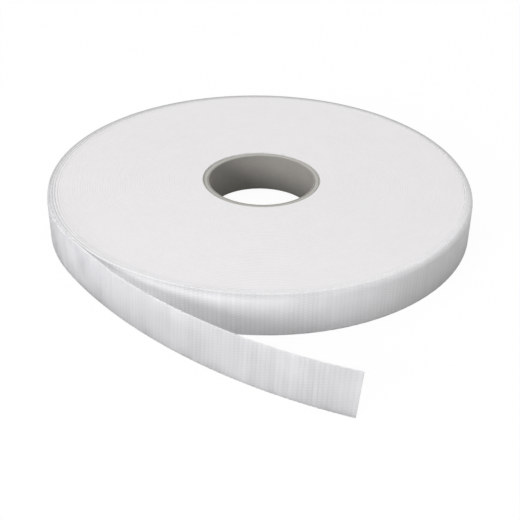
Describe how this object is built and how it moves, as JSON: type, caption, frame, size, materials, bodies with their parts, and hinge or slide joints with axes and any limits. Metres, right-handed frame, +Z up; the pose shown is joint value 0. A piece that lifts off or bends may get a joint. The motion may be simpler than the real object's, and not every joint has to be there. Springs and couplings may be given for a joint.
{
  "type": "hook and loop tape roll",
  "caption": "Flat roll of white woven hook tape wound on a grey paperboard core, with a loose tape end that bends away from the roll and back round it.",
  "frame": {"origin": "on the surface that the roll lies on, under the middle of the whole object's box, tail included", "axes": "+Z up along the roll's axis; +Y from the cut end of the tail towards the far side of the roll; +X to the right as the picture looks along +Y"},
  "size_m": [0.1998, 0.2491, 0.02],
  "materials": {
    "white_tape": "matte",
    "grey_board": "matte",
    "inner_board": "matte",
    "adhesive_film": "satin"
  },
  "bodies": {
    "roll": {"core_inner_ply": "inner_board", "core_body_ply": "grey_board", "core_outer_ply": "grey_board", "start_strip": "adhesive_film", "inner_winding": "white_tape", "outer_turns": "white_tape"},
    "tail_1": {"tail_section_01": "white_tape"},
    "tail_2": {"tail_section_02": "white_tape"},
    "tail_3": {"tail_section_03": "white_tape"},
    "tail_4": {"tail_section_04": "white_tape"},
    "tail_5": {"tail_section_05": "white_tape"},
    "tail_6": {"tail_section_06": "white_tape"},
    "tail_7": {"tail_section_07": "white_tape"},
    "tail_8": {"tail_section_08": "white_tape"},
    "tail_9": {"tail_section_09": "white_tape"},
    "tail_10": {"tail_section_10": "white_tape"}
  },
  "joints": [
    {"name": "tail_root_bend", "type": "hinge", "parent": "roll", "child": "tail_1", "pos_m": [-0.07971, -0.03557, 0.01], "axis": [0, 0, 1], "range_deg": [-12, 4.5], "stiffness_Nm_per_rad": 0.002},
    {"name": "tail_root_bend_2", "type": "hinge", "parent": "tail_1", "child": "tail_2", "pos_m": [-0.07089, -0.04752, 0.01], "axis": [0, 0, 1], "range_deg": [-12, 4.5], "stiffness_Nm_per_rad": 0.002},
    {"name": "tail_root_bend_3", "type": "hinge", "parent": "tail_2", "child": "tail_3", "pos_m": [-0.06133, -0.05889, 0.01], "axis": [0, 0, 1], "range_deg": [-12, 4.5], "stiffness_Nm_per_rad": 0.002},
    {"name": "tail_root_bend_4", "type": "hinge", "parent": "tail_3", "child": "tail_4", "pos_m": [-0.05107, -0.06964, 0.01], "axis": [0, 0, 1], "range_deg": [-12, 4.5], "stiffness_Nm_per_rad": 0.002},
    {"name": "tail_root_bend_5", "type": "hinge", "parent": "tail_4", "child": "tail_5", "pos_m": [-0.04016, -0.07971, 0.01], "axis": [0, 0, 1], "range_deg": [-12, 4.5], "stiffness_Nm_per_rad": 0.002},
    {"name": "tail_tip_bend", "type": "hinge", "parent": "tail_5", "child": "tail_6", "pos_m": [-0.02863, -0.08908, 0.01], "axis": [0, 0, 1], "range_deg": [-12, 4.5], "stiffness_Nm_per_rad": 0.002},
    {"name": "tail_tip_bend_2", "type": "hinge", "parent": "tail_6", "child": "tail_7", "pos_m": [-0.01653, -0.0977, 0.01], "axis": [0, 0, 1], "range_deg": [-12, 4.5], "stiffness_Nm_per_rad": 0.002},
    {"name": "tail_tip_bend_3", "type": "hinge", "parent": "tail_7", "child": "tail_8", "pos_m": [-0.00391, -0.10554, 0.01], "axis": [0, 0, 1], "range_deg": [-12, 4.5], "stiffness_Nm_per_rad": 0.002},
    {"name": "tail_tip_bend_4", "type": "hinge", "parent": "tail_8", "child": "tail_9", "pos_m": [0.00918, -0.11256, 0.01], "axis": [0, 0, 1], "range_deg": [-12, 4.5], "stiffness_Nm_per_rad": 0.002},
    {"name": "tail_tip_bend_5", "type": "hinge", "parent": "tail_9", "child": "tail_10", "pos_m": [0.02268, -0.11875, 0.01], "axis": [0, 0, 1], "range_deg": [-12, 4.5], "stiffness_Nm_per_rad": 0.002}
  ],
  "couplings": [
    {"joint": "tail_root_bend_2", "follows": "tail_root_bend", "ratio": 1},
    {"joint": "tail_root_bend_3", "follows": "tail_root_bend", "ratio": 1},
    {"joint": "tail_root_bend_4", "follows": "tail_root_bend", "ratio": 1},
    {"joint": "tail_root_bend_5", "follows": "tail_root_bend", "ratio": 1},
    {"joint": "tail_tip_bend_2", "follows": "tail_tip_bend", "ratio": 1},
    {"joint": "tail_tip_bend_3", "follows": "tail_tip_bend", "ratio": 1},
    {"joint": "tail_tip_bend_4", "follows": "tail_tip_bend", "ratio": 1},
    {"joint": "tail_tip_bend_5", "follows": "tail_tip_bend", "ratio": 1}
  ]
}
